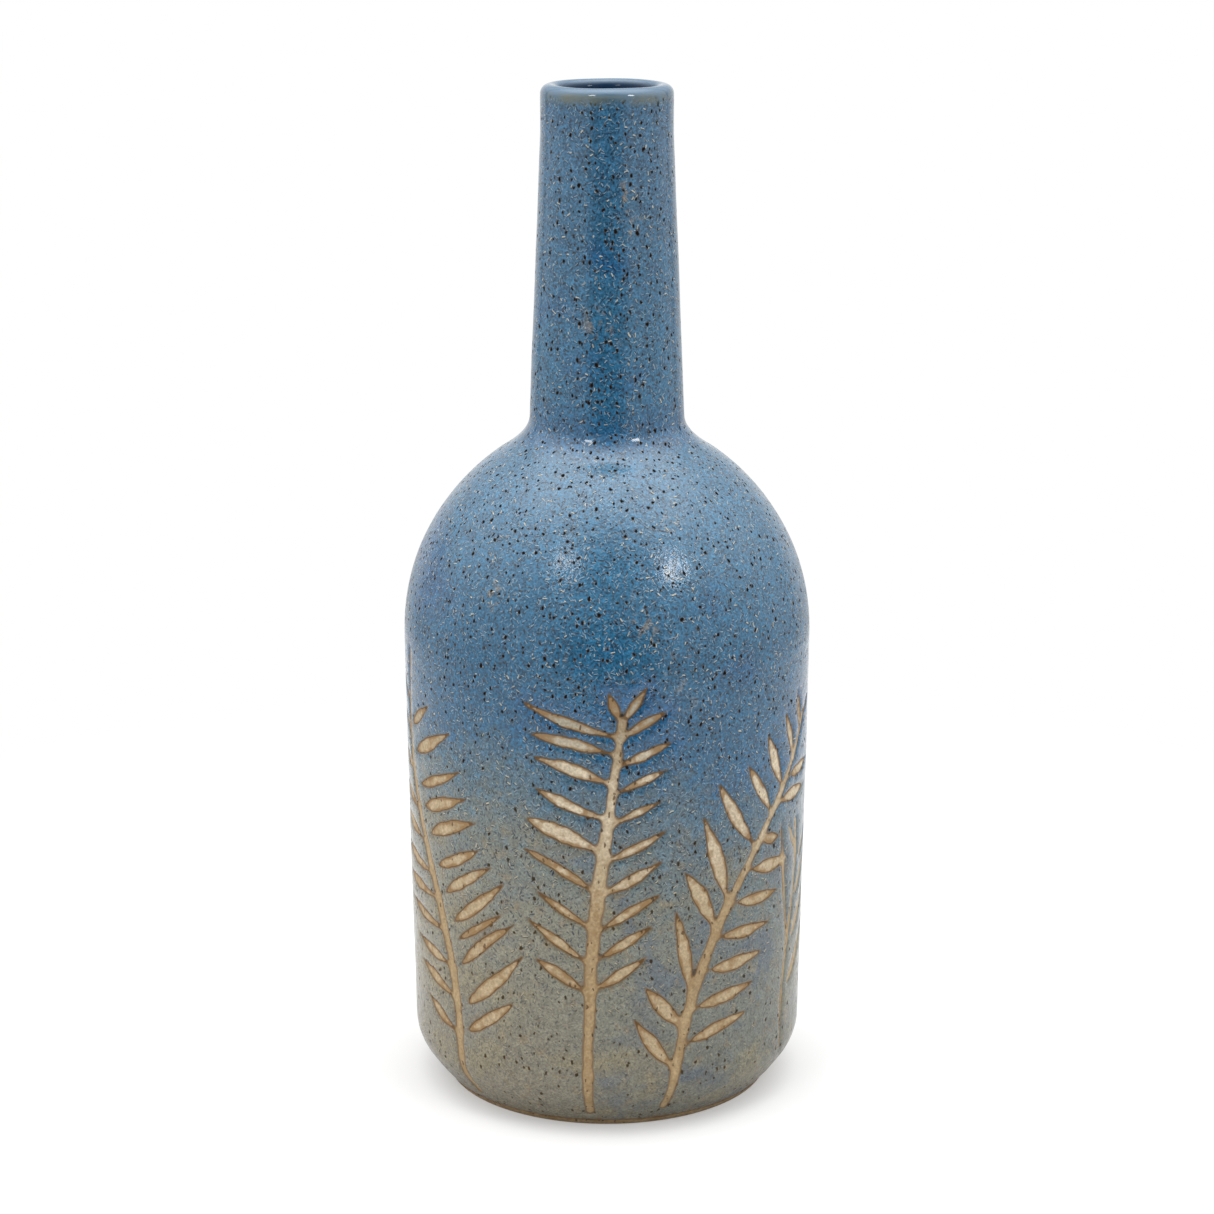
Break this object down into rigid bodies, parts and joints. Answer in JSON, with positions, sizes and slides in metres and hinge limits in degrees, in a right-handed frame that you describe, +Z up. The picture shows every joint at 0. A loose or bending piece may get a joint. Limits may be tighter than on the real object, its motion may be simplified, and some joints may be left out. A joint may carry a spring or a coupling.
{
  "type": "ceramic bud vase",
  "caption": "Bottle-shaped stoneware bud vase with a tall tapered neck, a domed shoulder and speckled blue glaze with leaf sprigs left in bare clay; holds cut stems in water.",
  "frame": {"origin": "centre of the foot, on the surface that the vase stands on", "axes": "+Z up along the axis the vase was turned on; -Y is the side that the picture shows"},
  "size_m": [0.101, 0.101, 0.25],
  "materials": {
    "clay": "bare buff stoneware, matte",
    "joint_clay": "fired joint clay, matte",
    "blue_glaze": "glossy speckled blue glaze that turns grey-green low down",
    "lining": "glossy dark blue lining glaze"
  },
  "bodies": {
    "root": {"body": "clay", "neck": "clay", "luting_coil": "joint_clay", "outer_glaze": "blue_glaze", "lining_glaze": "lining"}
  },
  "joints": []
}
